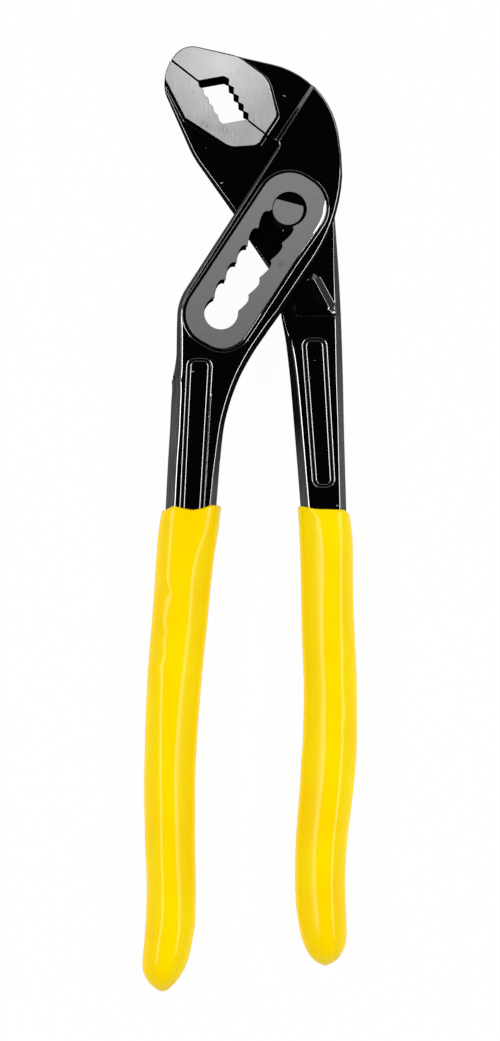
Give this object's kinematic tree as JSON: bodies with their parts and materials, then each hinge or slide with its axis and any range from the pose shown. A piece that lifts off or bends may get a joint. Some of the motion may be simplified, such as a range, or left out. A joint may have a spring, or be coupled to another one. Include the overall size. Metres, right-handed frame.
{
  "type": "water pump pliers",
  "caption": "Box-joint water pump pliers: slotted upper half, lower half on a pin that slides between notched settings, serrated parrot-nose jaws and dipped vinyl handle sleeves.",
  "frame": {"origin": "on the pivot axis at the uppermost setting, in the plane of the rear ground face that the closed tool rests on", "axes": "+Y along the tool from the handles towards the jaws, +Z through the thickness towards the front face, +X towards the lower half's handle"},
  "size_m": [0.0573, 0.2515, 0.013],
  "materials": {
    "black_lacquer": "gloss black lacquer over forged steel, ground bright on the jaw faces and round the slot",
    "ground_steel": "fine ground bare steel",
    "dipped_vinyl": "smooth glossy dip-moulded PVC"
  },
  "bodies": {
    "upper_half": {"upper_jaw_half": "black_lacquer", "left_grip": "dipped_vinyl"},
    "pin": {"pivot_pin": "ground_steel"},
    "lower_half": {"lower_jaw_half": "black_lacquer", "right_grip": "dipped_vinyl"}
  },
  "joints": [
    {"name": "jaw_adjust", "type": "slide", "parent": "upper_half", "child": "pin", "axis": [-0.5446, -0.8387, 0], "range_m": [0, 0.0324]},
    {"name": "jaw_pivot", "type": "hinge", "parent": "pin", "child": "lower_half", "pos_m": [0, 0, 0], "axis": [0, 0, 1], "range_deg": [0, 70]}
  ]
}
